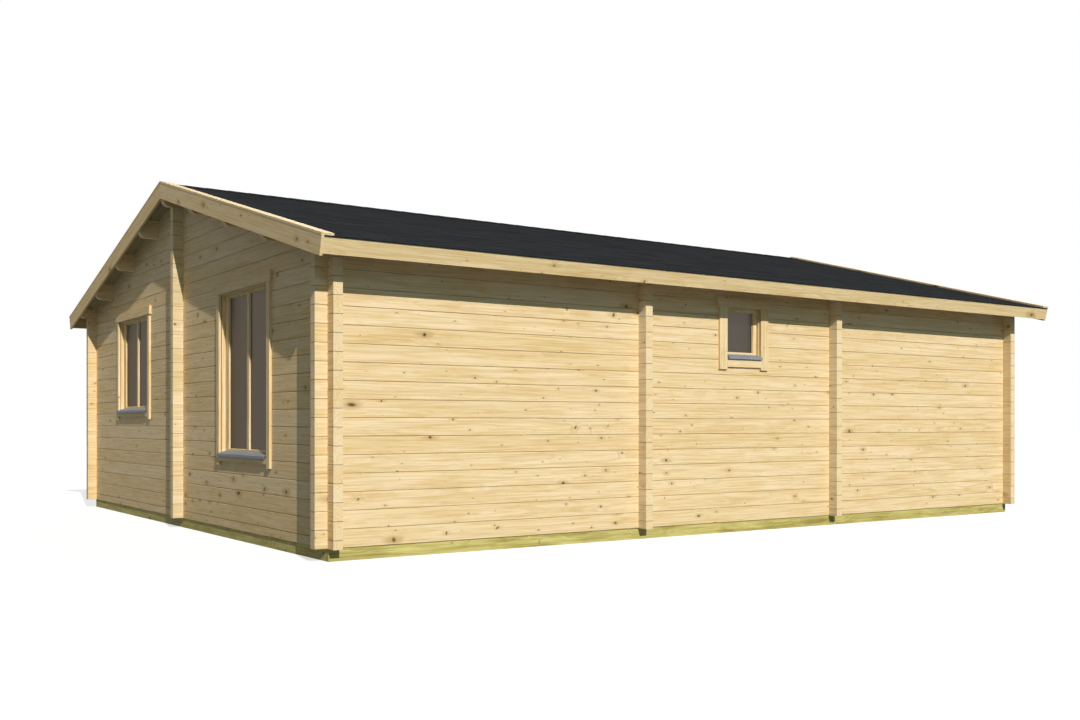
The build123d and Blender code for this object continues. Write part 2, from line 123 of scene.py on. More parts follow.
class Wire:
    """An output socket with operators. An expression on it adds the Math nodes that work it out."""

    def __init__(self, socket):
        self.socket = socket

    def node(self, kind, settings=None, *values, **named):
        """Add a node to this wire's tree: its settings first, then its inputs in order or by name."""
        made = self.socket.id_data.nodes.new("ShaderNode" + kind)
        for name, value in (settings or {}).items():
            setattr(made, name, value)
        shown = [socket for socket in made.inputs if socket.enabled]
        for socket, value in zip(shown, values):
            feed(socket, value)
        for name, value in named.items():
            feed(made.inputs[name.replace("_", " ")], value)
        return Wire(next(socket for socket in made.outputs if socket.enabled))

    def math(self, operation, *values):
        return self.node("Math", {"operation": operation}, *(values or (self,)))

    def __getitem__(self, name):
        return Wire(self.socket.node.outputs[name])

    def __add__(self, other):
        return self.math("ADD", self, other)

    def __sub__(self, other):
        return self.math("SUBTRACT", self, other)

    def __rsub__(self, other):
        return self.math("SUBTRACT", other, self)

    def __mul__(self, other):
        return self.math("MULTIPLY", self, other)

    def __truediv__(self, other):
        return self.math("DIVIDE", self, other)

    def __pow__(self, other):
        return self.math("POWER", self, other)

    def __lt__(self, other):
        return self.math("LESS_THAN", self, other)

    def __gt__(self, other):
        return self.math("GREATER_THAN", self, other)

    __radd__ = __add__
    __rmul__ = __mul__

    def floor(self):
        return self.math("FLOOR")

    def fraction(self):
        return self.math("FRACT")

    def size(self):
        return self.math("ABSOLUTE")

    def sign(self):
        return self.math("SIGN")

    def parts(self):
        """The three components of a vector or colour."""
        split = self.node("SeparateXYZ", None, self)
        return split["X"], split["Y"], split["Z"]

    def vector(self, x, y, z):
        return self.node("CombineXYZ", None, x, y, z)

    def fade(self, low, high):
        """0 where this value is at low, 1 where it is at high, and smooth between them."""
        return self.node("MapRange", {"interpolation_type": "SMOOTHSTEP"}, self, low, high, 0.0, 1.0)

    def tint(self, first, second):
        """A colour that goes from first to second as this value goes from 0 to 1."""
        return self.node("Mix", {"data_type": "RGBA"}, self, first, second)

    def noise(self, detail, roughness):
        """Soft noise about 0.5, at a scale of one, at this vector."""
        return self.node("TexNoise", None, Vector=self, Scale=1.0, Detail=detail, Roughness=roughness)


# %% [markdown]
# ## What every finish needs
# Each finish starts from a new material and the place on the object, which is the place in the frame too.
# A finish also asks which way a face looks, because a log's cut end isn't like its side, and turns fine
# relief into a bump.


# %% Helpers for finishes
def new_finish(name):
    """A material, its surface shader, and the wire of the place on the object in metres."""
    material = bpy.data.materials.new(name)
    material.use_nodes = True
    tree = material.node_tree
    shader = next(node for node in tree.nodes if node.type == "BSDF_PRINCIPLED")
    place = Wire(tree.nodes.new("ShaderNodeTexCoord").outputs["Object"])
    return material, shader, place


def facing(place, axis):
    """How squarely a face looks along an axis, to either side: 1 if it does, 0 if it lies along it."""
    return place.node("NewGeometry")["Normal"].parts()["XYZ".index(axis)].size()


def bump(place, height, strength, distance):
    """A normal that follows a height map."""
    return place.node("Bump", None, Strength=strength, Distance=distance, Height=height)


def wear(node, material):
    """Put a finish on a CAD node in place of the one it came with."""
    target = nodes[node].data
    target.materials.clear()
    target.materials.append(material)
    print(node, "wears", material.name)


# %% [markdown]
# ## Figures
# Wood, felt and brushed metal show the same kind of thing at different scales: soft noise, drawn out one
# way. Pictures of them would repeat. Noise doesn't, and a figure is then only a few numbers, so each is
# written down once with a name, and one function grows it.


# %% Figures from noise
class Figure(NamedTuple):
    """Soft noise: its changes in a metre each way, its detail and roughness, and the levels it fades over."""

    scale: tuple
    detail: float
    roughness: float = 0.5
    levels: tuple = ()


def grow(place, figure, *spot):
    """The noise of a figure at a spot, which is three wires or numbers."""
    scaled = [value * scale for value, scale in zip(spot, figure.scale)]
    noise = place.vector(*scaled).noise(figure.detail, figure.roughness)
    return noise.fade(*figure.levels) if figure.levels else noise


# %% [markdown]
# ## Knots
# A knot is a branch that the tree grew round. Branches grow in whorls, so knots come in groups, most of
# them dots no wider than a finger, with a few long ones that lie slanted. Scattered points come from a
# Voronoi texture: it gives every place the nearest point and a random colour for it. That colour decides
# the knot's size, slant and darkness, and slow noise along the log makes it larger inside a whorl.

# %% Knots
KNOT_SPACING = 0.19
KNOT_PACKING = 0.85
KNOT_LEAST = 0.0036
KNOT_SPREAD = 0.0086
KNOT_RARITY = 3.0
KNOT_SLANT = 3.1
KNOT_OVAL = 1.15
SPIKE_LENGTH = 1.5
SPIKE_RARITY = 5.0
KNOT_SHADES = 13.0
KNOT_CONTRAST = 1.3
KNOT_TRAIL = 2.2
ROW_STEP = 0.731
HALFWAY = 0.5
WHORL = Figure((2.4, ROW_STEP, 1.0), 1.0, levels=(0.40, 0.62))
WHORL_LEAST = 0.45
WHORL_GAIN = 0.9


def knots_near(place, run, across, plank, amount):
    """Distance to the nearest knot and to its smear, both in radii, and the knot's radius and darkness."""
    spot = place.vector(run * KNOT_PACKING, across + plank * ROW_STEP, 0.0)
    cells = place.node("TexVoronoi", {"voronoi_dimensions": "2D"}, Scale=1.0 / KNOT_SPACING, Vector=spot)
    pick, length, turn = cells["Color"].parts()
    home, _, _ = cells["Position"].parts()
    away = place.node("VectorMath", {"operation": "SUBTRACT"}, spot, cells["Position"])
    away_along, away_across, _ = away.parts()

    slant = (turn - HALFWAY) * KNOT_SLANT
    lean = away_along * slant.math("COSINE") + away_across * slant.math("SINE")
    lean = lean / (length ** SPIKE_RARITY * SPIKE_LENGTH + KNOT_OVAL)
    side = away_across * slant.math("COSINE") - away_along * slant.math("SINE")
    trail = away_along / KNOT_TRAIL

    whorl = grow(place, WHORL, home, plank, 0.0) * WHORL_GAIN + WHORL_LEAST
    radius = (pick ** KNOT_RARITY * KNOT_SPREAD + KNOT_LEAST) * whorl * amount
    apart = (lean * lean + side * side).math("SQRT") / radius
    smear = (trail * trail + away_across * away_across).math("SQRT") / radius
    dark = (pick * KNOT_SHADES).fraction() ** KNOT_CONTRAST
    return apart, smear, radius, dark


print("a knot about every", KNOT_SPACING, "m")

# %% [markdown]
# ## Growth
# Planed spruce has thin darker lines of late wood that flow round the knots. A picture of wood would
# repeat and would be cut across the logs, so the wood is grown instead: each log has its own heart, at a
# random place beside it, and its growth is a shell round that heart. Where a plank's face runs nearly
# along a shell, it opens into the arches that people know from planks, and on a cut end the same shells
# show as curves.

# %% Shells round the heart of a log
YEAR = 0.0034
YEAR_CURVE = 2.0
HEART_SPREAD = 0.24
HEART_DEPTH = 0.045
HEART_DEEPER = 0.08
WANDER = Figure((0.9, 2.5, 2.5), 2.0)
WANDER_STEP = 3.6
WANDER_SIZE = 0.055
RIPPLE = Figure((5.0, 9.0, 9.0), 2.0)
RIPPLE_STEP = 0.5556
RIPPLE_SIZE = 0.007
LATE = Figure((140.0, 50.0, 0.9), 3.0, 0.65, (0.42, 0.66))
BANDS = Figure((34.0, 40.0, 0.9), 2.0, levels=(0.38, 0.64))


def growth(place, run, across, deep, luck, swirl):
    """Late wood, its broad bands, and the darkening of each year, from the distance to the log's heart."""
    shift, tilt, tone = luck
    wander = grow(place, WANDER, run, across + shift * WANDER_STEP, deep) - HALFWAY
    ripple = grow(place, RIPPLE, run, across, deep + tilt * RIPPLE_STEP) - HALFWAY
    heart_across = across - (tilt - HALFWAY) * HEART_SPREAD
    heart_deep = deep - tone * HEART_DEEPER - HEART_DEPTH
    heart = place.vector(0.0, heart_across, heart_deep)
    shell = place.node("VectorMath", {"operation": "LENGTH"}, heart)["Value"]
    shell = shell + wander * WANDER_SIZE + ripple * RIPPLE_SIZE + swirl
    late = grow(place, LATE, shell, shift, run)
    bands = grow(place, BANDS, shell, tilt, run)
    return late, bands, (shell / YEAR).fraction() ** YEAR_CURVE


print("a year of growth is", YEAR, "m")

# %% [markdown]
# ## Spruce
# The colour goes from pale to gold with streaks along the fibres, broad bands and blotches, and each log
# has a tone of its own. Late wood and years darken it, a knot brings a golden rim, a brown or dark heart
# and a smear along the fibres, and the joint between two logs gets a dark line of painted shade. Each
# board could have its own finish, but one is enough if it is told four things: how far along the fibres a
# point is, how far across the plank, how deep, and which plank it is on. Every wooden piece below only
# answers those.

# %% Values of the spruce finish
SPRUCE = ((0.962, 0.748, 0.466), (0.772, 0.531, 0.218), (0.615, 0.380, 0.113))
PLANK_STRIDE = 1.618
LOG_SHIFT = 61.0
END_FACING = 0.7

STREAK = Figure((2.2, 82.0, 82.0), 4.0, 0.6, (0.42, 0.64))
STREAK_STEP = 0.08537
STREAK_WARMTH = 0.56
BAND_WARMTH = 0.12
BLOTCH = Figure((6.0, 17.0, 30.0), 2.0, 0.6, (0.52, 0.74))
BLOTCH_WARMTH = 0.22
TONE_WARMTH = 0.36
CLOUD = Figure((2.6, 7.0, 30.0), 1.0, levels=(0.40, 0.70))
CLOUD_PALENESS = 0.16
CUT_WARMTH = 0.8

LATE_SHADE = 0.30
CUT_LATE_SHADE = 0.18
YEAR_SHADE = 0.10
FIBRE = Figure((9.0, 420.0, 420.0), 2.0)
FIBRE_SHADE = 0.14

KNOT_SHEAR = 0.8
KNOT_RIM = (0.75, 1.15)
KNOT_HEART = (0.35, 0.80)
KNOT_COVER = 0.85
KNOT_GOLD = (0.430, 0.255, 0.085)
KNOT_BROWN = (0.330, 0.195, 0.080)
KNOT_DARK = (0.075, 0.046, 0.026)
SMEAR_REACH = (0.7, 3.0)
SMEAR_SHADE = 42.0
SMEAR_COLOUR = (0.530, 0.350, 0.135)
SWIRL_REACH = (0.5, 6.0)
SWIRL_SIZE = 1.3

# Painted shade in the joints between planks: its colour, how far it reaches from the joint, its strength on
# long faces and on cut ends, and how much wider it is on cut ends.
JOINT_PAINTED_SHADE = (0.130, 0.095, 0.045)
JOINT_EDGE = 0.0022
JOINT_CORE = 0.0008
FACE_JOINT_SHADE_STRENGTH = 0.55
CUT_JOINT_SHADE_STRENGTH = 0.85
CUT_GAP = 0.0006

SPRUCE_ROUGHNESS = 0.62
LATE_GLOSS = 0.10
KNOT_ROUGHNESS = 0.08
SPRUCE_SPECULAR = 0.08
FIBRE_RELIEF = 0.5
YEAR_RELIEF = 0.3
KNOT_RELIEF = 0.5
SPRUCE_BUMP = 0.25
SPRUCE_RELIEF = 0.0005
print("pale, gold and late wood", SPRUCE)


# %% Spruce finish
def spruce(name, grain, seed, colours=SPRUCE, knots=1.0, width=None, ends=None, joint_shade_strength=FACE_JOINT_SHADE_STRENGTH):
    """Planed wood. grain(x, y, z) gives the wires along, across and deep, and the plank's number.

    width is the plank's own, for a line of painted shade in the joints between planks; the last argument sets
    its strength.
    ends is the axis that the cut ends look along.
    """
    pale, gold, late_brown = colours
    material, shader, place = new_finish(name)
    along, across, deep, plank = grain(*place.parts())
    luck = place.node("TexWhiteNoise", {"noise_dimensions": "1D"}, W=plank * PLANK_STRIDE + seed)
    shift, tilt, tone = luck["Color"].parts()
    run = along + shift * LOG_SHIFT
    face = facing(place, ends) < END_FACING if ends else 1.0

    apart, smear, radius, dark = knots_near(place, run, across + deep * KNOT_SHEAR, plank, knots)
    knot = (1 - apart.fade(*KNOT_RIM)) * face
    heart = (1 - apart.fade(*KNOT_HEART)) * knot
    smear = (1 - smear.fade(*SMEAR_REACH)) * face
    swirl = (1 - apart.fade(*SWIRL_REACH)) * radius * SWIRL_SIZE * face
    late, bands, year = growth(place, run, across, deep, (shift, tilt, tone), swirl)
    streak = grow(place, STREAK, run, across, deep + shift * STREAK_STEP)
    blotch = grow(place, BLOTCH, run, across, tilt)
    cloud = grow(place, CLOUD, run, across, tone)
    fibre = grow(place, FIBRE, run, across, deep)

    warmth = streak * STREAK_WARMTH + bands * BAND_WARMTH + blotch * BLOTCH_WARMTH
    warmth = (warmth + tone * TONE_WARMTH - cloud * CLOUD_PALENESS) * (face * (1 - CUT_WARMTH) + CUT_WARMTH)
    # Cut ends keep the plain spruce colours, and the long faces take the wall's own, painted for their shade.
    if ends:
        pale = face.tint(SPRUCE[0], pale)
        gold = face.tint(SPRUCE[1], gold)
    colour = warmth.math("MAXIMUM", warmth, 0.0).tint(pale, gold)
    shade = late * (face * (LATE_SHADE - CUT_LATE_SHADE) + CUT_LATE_SHADE)
    shade = shade + year * YEAR_SHADE + (fibre - HALFWAY) * FIBRE_SHADE
    colour = shade.tint(colour, late_brown)
    colour = (smear * radius * SMEAR_SHADE).tint(colour, SMEAR_COLOUR)
    colour = (knot * KNOT_COVER).tint(colour, KNOT_GOLD)
    colour = heart.tint(colour, dark.tint(KNOT_BROWN, KNOT_DARK))
    # Painted shade: a dark line along the joint between two planks, stronger and wider on cut ends.
    if width:
        edge = across.size() + (1 - face) * CUT_GAP
        joint_shade = edge.fade(width / 2 - JOINT_EDGE, width / 2 - JOINT_CORE)
        colour = (joint_shade * (face * (joint_shade_strength - CUT_JOINT_SHADE_STRENGTH) + CUT_JOINT_SHADE_STRENGTH)).tint(colour, JOINT_PAINTED_SHADE)

    feed(shader.inputs["Base Color"], colour)
    feed(shader.inputs["Roughness"], SPRUCE_ROUGHNESS - late * LATE_GLOSS + knot * KNOT_ROUGHNESS)
    feed(shader.inputs["Specular IOR Level"], SPRUCE_SPECULAR)
    relief = fibre * FIBRE_RELIEF - year * YEAR_RELIEF + knot * KNOT_RELIEF
    feed(shader.inputs["Normal"], bump(place, relief, SPRUCE_BUMP, SPRUCE_RELIEF))
    return material


# %% [markdown]
# ## The log walls
# The long walls start with a whole log and the gables with half of one, so that the logs of two walls lap
# over each other at the corners. A material for each log would mean hundreds of them, so a wall has one
# that works out the log's number: its height above the foundation counted in courses, with half a course
# taken off on the gables and cross walls. Each wall has its own seed, so that opposite walls aren't
# copies of each other. The long faces of the cross walls, the middle walls and the right gable are a little
# less golden, which meets the photo's colours in this light: it is painted shade that takes out the warm
# light the wood throws into their shaded sides.

# %% Finish the log walls
LOG_COURSE = 0.127
HALF_COURSE = LOG_COURSE / 2
# Greyer spruce for the long faces of some walls: painted shade against the warm light the wood throws into
# their shaded sides.
CROSS_SPRUCE_PAINTED_SHADE = ((0.930, 0.805, 0.590), (0.740, 0.585, 0.345), (0.590, 0.420, 0.190))
MIDDLE_SPRUCE_PAINTED_SHADE = ((0.895, 0.730, 0.475), (0.715, 0.525, 0.250), (0.570, 0.380, 0.135))
FAR_SPRUCE_PAINTED_SHADE = ((0.945, 0.785, 0.525), (0.757, 0.562, 0.280), (0.600, 0.400, 0.150))
WALL_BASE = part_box("foundation_beams")[1].z
WALL_SEED = 3.7
WALL_SEED_STEP = 11.3


def log_grain(axis, lift, node):
    """Grain of stacked logs that run along axis X or Y."""
    low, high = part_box(node)
    middle = (low + high) / 2

    def grain(x, y, z):
        course = (z - (WALL_BASE + lift)) / LOG_COURSE
        across = (course.fraction() - HALFWAY) * LOG_COURSE
        if axis == "X":
            return x, across, y - middle.y, course.floor()
        return y, across, x - middle.x, course.floor()

    return grain


# The last value of each wall is the strength of its painted joint shade, stronger where the logs have no
# grooves.
log_walls = {
    "back_wall_logs": ("X", 0.0, SPRUCE, FACE_JOINT_SHADE_STRENGTH),
    "front_wall_logs": ("X", 0.0, SPRUCE, FACE_JOINT_SHADE_STRENGTH),
    "left_middle_wall_logs": ("X", 0.0, MIDDLE_SPRUCE_PAINTED_SHADE, CUT_JOINT_SHADE_STRENGTH),
    "right_middle_wall_logs": ("X", 0.0, MIDDLE_SPRUCE_PAINTED_SHADE, CUT_JOINT_SHADE_STRENGTH),
    "left_gable_logs": ("Y", HALF_COURSE, SPRUCE, FACE_JOINT_SHADE_STRENGTH),
    "right_gable_logs": ("Y", HALF_COURSE, FAR_SPRUCE_PAINTED_SHADE, FACE_JOINT_SHADE_STRENGTH),
    "left_cross_wall_logs": ("Y", HALF_COURSE, CROSS_SPRUCE_PAINTED_SHADE, CUT_JOINT_SHADE_STRENGTH),
    "right_cross_wall_logs": ("Y", HALF_COURSE, CROSS_SPRUCE_PAINTED_SHADE, CUT_JOINT_SHADE_STRENGTH),
}
for number, (wall, (axis, lift, colours, joint_shade_strength)) in enumerate(log_walls.items()):
    seed = WALL_SEED + WALL_SEED_STEP * number
    grain = log_grain(axis, lift, wall)
    wear(wall, spruce(f"spruce_of_{wall}", grain, seed, colours, width=LOG_COURSE, ends=axis, joint_shade_strength=joint_shade_strength))

# %% [markdown]
# ## The solids of a node
# Like pieces share a node, such as the three purlins of a slope or the panes of a gable. Vertices that a
# face joins belong to one solid, so following the faces sorts a node into its solids, and their boxes
# give places and sizes.

# %% Boxes of the solids in a node
WELD_DIGITS = 4


def touching_boxes(node):
    """Lowest and highest corner of each separate solid of a CAD node."""
    data = nodes[node].data
    owner = {}

    def find(key):
        while owner[key] != key:
            key = owner[key]
        return key

    keys = [tuple(round(value, WELD_DIGITS) for value in vertex.co) for vertex in data.vertices]
    for key in keys:
        owner.setdefault(key, key)
    for polygon in data.polygons:
        first = find(keys[polygon.vertices[0]])
        for index in polygon.vertices[1:]:
            owner[find(keys[index])] = first
    groups = {}
    for key in owner:
        groups.setdefault(find(key), []).append(key)
    boxes = []
    for corners in groups.values():
        spans = list(zip(*corners))
        boxes.append((Vector(map(min, spans)), Vector(map(max, spans))))
    return sorted(boxes, key=lambda box: tuple(box[0]))


print("solids in back_wall_logs:", len(touching_boxes("back_wall_logs")))

# %% [markdown]
# ## Foundation, joists and purlins
# The beams under the walls are pressure treated, which turns spruce yellow green. Joists and purlins are
# plain spruce. Each could be an object with coordinates of its own, but they all are long pieces along X
# or Y, and a beam's number can come from where it lies across its length.

# %% Finish the foundation, joists and purlins
TREATED = ((0.755, 0.638, 0.228), (0.365, 0.280, 0.056), (0.210, 0.155, 0.034))
BEAM_STRETCH = 0.7
BEAM_DEPTH = 0.2
GABLE_STRIDE = 3.0
BEAM_SEED = 91.0
PURLIN_SPAN = 0.2
PURLIN_STRIDE = 7.0
PURLIN_SEED = 47.0
JOIST_CELL = 0.3
JOIST_SEED = 23.0
purlin_rows = [(low.y + high.y) / 2 for low, high in touching_boxes("front_purlins")]
PURLIN_FIRST = min(purlin_rows)
PURLIN_SPACING = (max(purlin_rows) - PURLIN_FIRST) / (len(purlin_rows) - 1)
print("first purlin and spacing", rounded((PURLIN_FIRST, PURLIN_SPACING)))


def beam_grain(x, y, z):
    """Beams on the ground: fibres run along Y on the faces that look along X, and along X on the others."""
    gable = facing(x, "X") > HALFWAY
    wall = 1 - gable
    along = x * wall + y * gable
    across = (z - WALL_BASE / 2) * BEAM_STRETCH
    deep = (y * wall + x * gable) * BEAM_DEPTH
    return along, across, deep, y.sign() + gable * GABLE_STRIDE


def purlin_grain(x, y, z):
    """Purlins along X: the cells between them are halfway, so that no purlin is cut."""
    row = ((y.size() - PURLIN_FIRST) / PURLIN_SPACING + HALFWAY).floor()
    across = (z.fraction() - HALFWAY) * PURLIN_SPAN
    deep = y.size() - row * PURLIN_SPACING - PURLIN_FIRST
    return x, across, deep, (row + PURLIN_STRIDE) * y.sign()


def joist_grain(x, y, z):
    """Joists along Y, numbered along the cabin."""
    row = (x / JOIST_CELL).floor()
    return y, z, x - row * JOIST_CELL, row


wear("foundation_beams", spruce("treated_spruce", beam_grain, BEAM_SEED, TREATED))
wear("floor_joists", spruce("joist_spruce", joist_grain, JOIST_SEED))
purlin_spruce = spruce("purlin_spruce", purlin_grain, PURLIN_SEED)
for purlin in ("ridge_purlin", "back_purlins", "front_purlins"):
    wear(purlin, purlin_spruce)

# %% [markdown]
# ## Barge boards, cover strips and fascias
# These boards follow the roof: the fibres of a barge board run down the slope. The boards could be
# unwrapped one by one, but turning the coordinates by the roof's pitch gives the distance down the slope
# and the height square to it for all of them.

# %% Finish the roof's edge boards
PITCH = math.radians(15.0)
EDGE_SPRUCE = ((0.930, 0.708, 0.405), (0.740, 0.505, 0.205), (0.580, 0.360, 0.110))
EDGE_KNOTS = 1.25
BARGE_MIDDLE = 0.06
FASCIA_MIDDLE = 0.055
VERGE_STRIDE = 3.0
EAVE_STRIDE = 2.0
BARGE_SEED = 17.0
FASCIA_SEED = 29.0
RIDGE = Vector((0.0, 0.0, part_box("back_roofing")[1].z))
FASCIA_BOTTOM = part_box("back_fascia")[0].z


def slope_grain(x, y, z):
    """Boards that run down the slope, one on each side of the ridge."""
    out = y.size()
    rise = z - RIDGE.z
    down = out * math.cos(PITCH) - rise * math.sin(PITCH)
    up = out * math.sin(PITCH) + rise * math.cos(PITCH)
    return down, up + BARGE_MIDDLE, x.size() - cad_high.x, x.sign() * VERGE_STRIDE + y.sign()


def fascia_grain(x, y, z):
    """Boards along the eaves."""
    return x, z - (FASCIA_BOTTOM + FASCIA_MIDDLE), y.size() - cad_high.y, y.sign() * EAVE_STRIDE


edge_spruce = spruce("edge_board_spruce", slope_grain, BARGE_SEED, EDGE_SPRUCE, knots=EDGE_KNOTS)
for side in ("left", "right"):
    wear(f"{side}_barge_boards", edge_spruce)
    wear(f"{side}_cover_strips", edge_spruce)
fascia_spruce = spruce("fascia_spruce", fascia_grain, FASCIA_SEED, EDGE_SPRUCE, knots=EDGE_KNOTS)
for side in ("back", "front"):
    wear(f"{side}_fascia", fascia_spruce)

# %% [markdown]
# ## Boards and tabs from one helper
# Roof boards, floor boards, shingle tabs and beads are all prisms: a small outline swept along a straight
# line. One helper adds such a prism to a mesh, and many of them make one piece. An array modifier could
# repeat one board too, but a loop can also cut the last tab of a course where the roof ends.

# %% Helpers for pieces made of prisms
ALONG_X = Vector((1.0, 0.0, 0.0))
ALONG_Y = Vector((0.0, 1.0, 0.0))
UPWARDS = Vector((0.0, 0.0, 1.0))


def prism(mesh, outline, origin, across, up, along):
    """Sweep an outline, given in the directions across and up, by the vector along."""
    near = [mesh.verts.new(origin + across * s + up * t) for s, t in outline]
    far = [mesh.verts.new(origin + across * s + up * t + along) for s, t in outline]
    count = len(outline)
    for i in range(count):
        j = (i + 1) % count
        mesh.faces.new((near[i], near[j], far[j], far[i]))
    mesh.faces.new(near[::-1])
    mesh.faces.new(far)


def piece(name, mesh, material, slot, *replaced):
    """Turn a mesh into a piece that rides on the cabin and stands for CAD nodes."""
    bmesh.ops.recalc_face_normals(mesh, faces=mesh.faces)
    data = bpy.data.meshes.new(name)
    mesh.to_mesh(data)
    mesh.free()
    data.materials.append(material)
    made = bpy.data.objects.new(name, data)
    bpy.context.scene.collection.objects.link(made)
    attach(made, "root")
    if replaced:
        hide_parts(*replaced)
    print(name, len(data.polygons), "faces")


# %% [markdown]
# A deck is a row of boards that are all as wide as will fill the space. The edges of a board are eased on
# the face that shows, so that the joint between two boards shows as a V.

# %% Helper for a row of boards
BOARD_JOINT = 0.0008
BOARD_EASE = 0.004
SHOWN_BELOW = -1
SHOWN_ABOVE = 1


def board_outline(width, thickness, ease, shown):
    """Section of a board from its plain face to the face that shows, which lies below or above it."""
    points = [(ease, thickness), (width - ease, thickness), (width, thickness - ease), (width, 0.0),
              (0.0, 0.0), (0.0, thickness - ease)]
    return [(s, shown * t) for s, t in points]


def lay_boards(mesh, corner, across, up, along, span, board, thickness, ease, shown):
    """Lay a span of boards of about a width side by side, from a corner."""
    count = math.floor(span / board)
    width = span / count
    outline = board_outline(width - BOARD_JOINT, thickness, ease, shown)
    for row in range(count):
        prism(mesh, outline, corner + across * (row * width), across, up, along)
    print(count, "boards of", round(width, PRINTED_DIGITS), "m")


# %% [markdown]
# ## The roof boards
# Under the roofing lies a deck of tongued boards that run from ridge to eave. From the ground they show
# under the eaves and verges, with a V at each joint, so the deck is made of single boards in place of one
# slab. They are darker than the planed logs, which is painted shade: pale ones would make the underside
# of the verge too light.

# %% Lay the roof boards
ROOF_BOARD = 0.0958
ROOF_BOARD_THICKNESS = 0.019
ROOFING_THICKNESS = 0.008
SLOPE_STRIDE = 200.0
ROOF_SEED = 53.0
# Roof boards darker than plain spruce: painted shade under the eaves and verges.
SHADED_ROOF_SPRUCE = ((0.500, 0.425, 0.265), (0.400, 0.315, 0.155), (0.300, 0.220, 0.085))
SLOPES = ((-1, "back"), (1, "front"))


def slope_axes(side):
    """Down the slope and square to it, for the slope on the side -1 (back) or 1 (front)."""
    down = Vector((0.0, side * math.cos(PITCH), -math.sin(PITCH)))
    up = Vector((0.0, side * math.sin(PITCH), math.cos(PITCH)))
    return down, up


def roof_board_grain(x, y, z):
    """Boards down the slope, numbered along the ridge."""
    down, up, _, _ = slope_grain(x, y, z)
    row = (x / ROOF_BOARD).floor()
    return down, x - (row + HALFWAY) * ROOF_BOARD, up, row + y.sign() * SLOPE_STRIDE


roof_spruce = spruce("roof_board_spruce", roof_board_grain, ROOF_SEED, SHADED_ROOF_SPRUCE)
for side, name in SLOPES:
    low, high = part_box(f"{name}_roof_boards")
    down, up = slope_axes(side)
    reach = (max(abs(low.y), abs(high.y)) + ROOFING_THICKNESS * math.sin(PITCH)) / math.cos(PITCH)
    start = (ROOFING_THICKNESS + ROOF_BOARD_THICKNESS) * math.tan(PITCH)
    corner = RIDGE + down * start - up * ROOFING_THICKNESS
    corner.x = low.x + BOARD_JOINT / 2
    deck = bmesh.new()
    lay_boards(deck, corner, ALONG_X, up, down * (reach - start), high.x - low.x, ROOF_BOARD,
               ROOF_BOARD_THICKNESS, BOARD_EASE, SHOWN_BELOW)
    piece(f"{name}_deck_boards", deck, roof_spruce, "roof_timber", f"{name}_roof_boards")

# %% [markdown]
# ## The roof covering
# The covering is anthracite mineral felt in tabs. From low down the tabs run together into fine dark
# streaks along the eave. Its finish is granules on bitumen: grit for the granules, slow clouds over the
# slope, and a tone of its own for each tab, found from the tab's course and its place in that course.

# %% Felt finish
TAB_WIDTH = 0.333
TAB_EXPOSED = 0.145
FELT_DARK = (0.0235, 0.0250, 0.0265)
FELT_LIGHT = (0.0480, 0.0500, 0.0530)
GRIT = Figure((900.0, 900.0, 900.0), 1.0)
GRIT_LEVELS = (0.35, 0.75)
GRIT_TONE = 0.35
FELT_CLOUD = Figure((2.2, 11.0, 1.0), 3.0, levels=(0.3, 0.7))
CLOUD_TONE = 0.35
TAB_TONE = 0.30
FELT_ROUGHNESS = 0.94
GRIT_ROUGHNESS = 0.06
GRIT_BUMP = 0.3
GRIT_RELIEF = 0.0006


def felt():
    """Mineral granules on bitumen, each tab a little lighter or darker than the next."""
    material, shader, place = new_finish("mineral_felt")
    x, y, z = place.parts()
    down, _, _, _ = slope_grain(x, y, z)
    course = (down / TAB_EXPOSED).floor()
    tab = ((x + course * (TAB_WIDTH / 2)) / TAB_WIDTH).floor()
    key = place.vector(tab, course, y.sign())
    luck = place.node("TexWhiteNoise", {"noise_dimensions": "3D"}, Vector=key)["Value"]
    grit = grow(place, GRIT, x, y, z)
    cloud = grow(place, FELT_CLOUD, x, down, 0.0)
    tone = luck * TAB_TONE + cloud * CLOUD_TONE + grit.fade(*GRIT_LEVELS) * GRIT_TONE
    feed(shader.inputs["Base Color"], tone.tint(FELT_DARK, FELT_LIGHT))
    feed(shader.inputs["Roughness"], FELT_ROUGHNESS + grit * GRIT_ROUGHNESS)
    feed(shader.inputs["Specular IOR Level"], 0.0)
    feed(shader.inputs["Normal"], bump(place, grit, GRIT_BUMP, GRIT_RELIEF))
    return material


mineral_felt = felt()
print("made", mineral_felt.name)

# %% [markdown]
# Each tab is a thin wedge that starts under the course above and ends lying on the course below. The
# courses start at the eave and are staggered by half a tab, and a sheet under all of them closes the
# slots between tabs. A bump would leave the edge of the roof straight, so the tabs are solid.

# %% Lay the felt tabs
TAB_TUCK = 0.030
TAB_SLOT = 0.006
TAB_THICKNESS = 0.003
TAB_DIP = 0.004
FELT_BASE = 0.002
SHEET_INSET = 0.002
BASE_TOP = FELT_BASE - ROOFING_THICKNESS
tab_top = -TAB_EXPOSED - TAB_TUCK
tab_outline = [(0.0, -TAB_THICKNESS), (0.0, 0.0), (tab_top, -TAB_DIP), (tab_top, BASE_TOP)]
roof_low, roof_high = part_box("back_roofing")
roof_length = roof_high.x - roof_low.x
eave = abs(roof_low.y) / math.cos(PITCH)
sheet_outline = [(ROOFING_THICKNESS * math.tan(PITCH), -ROOFING_THICKNESS),
                 (eave - SHEET_INSET, -ROOFING_THICKNESS), (eave - SHEET_INSET, BASE_TOP),
                 (SHEET_INSET, BASE_TOP)]


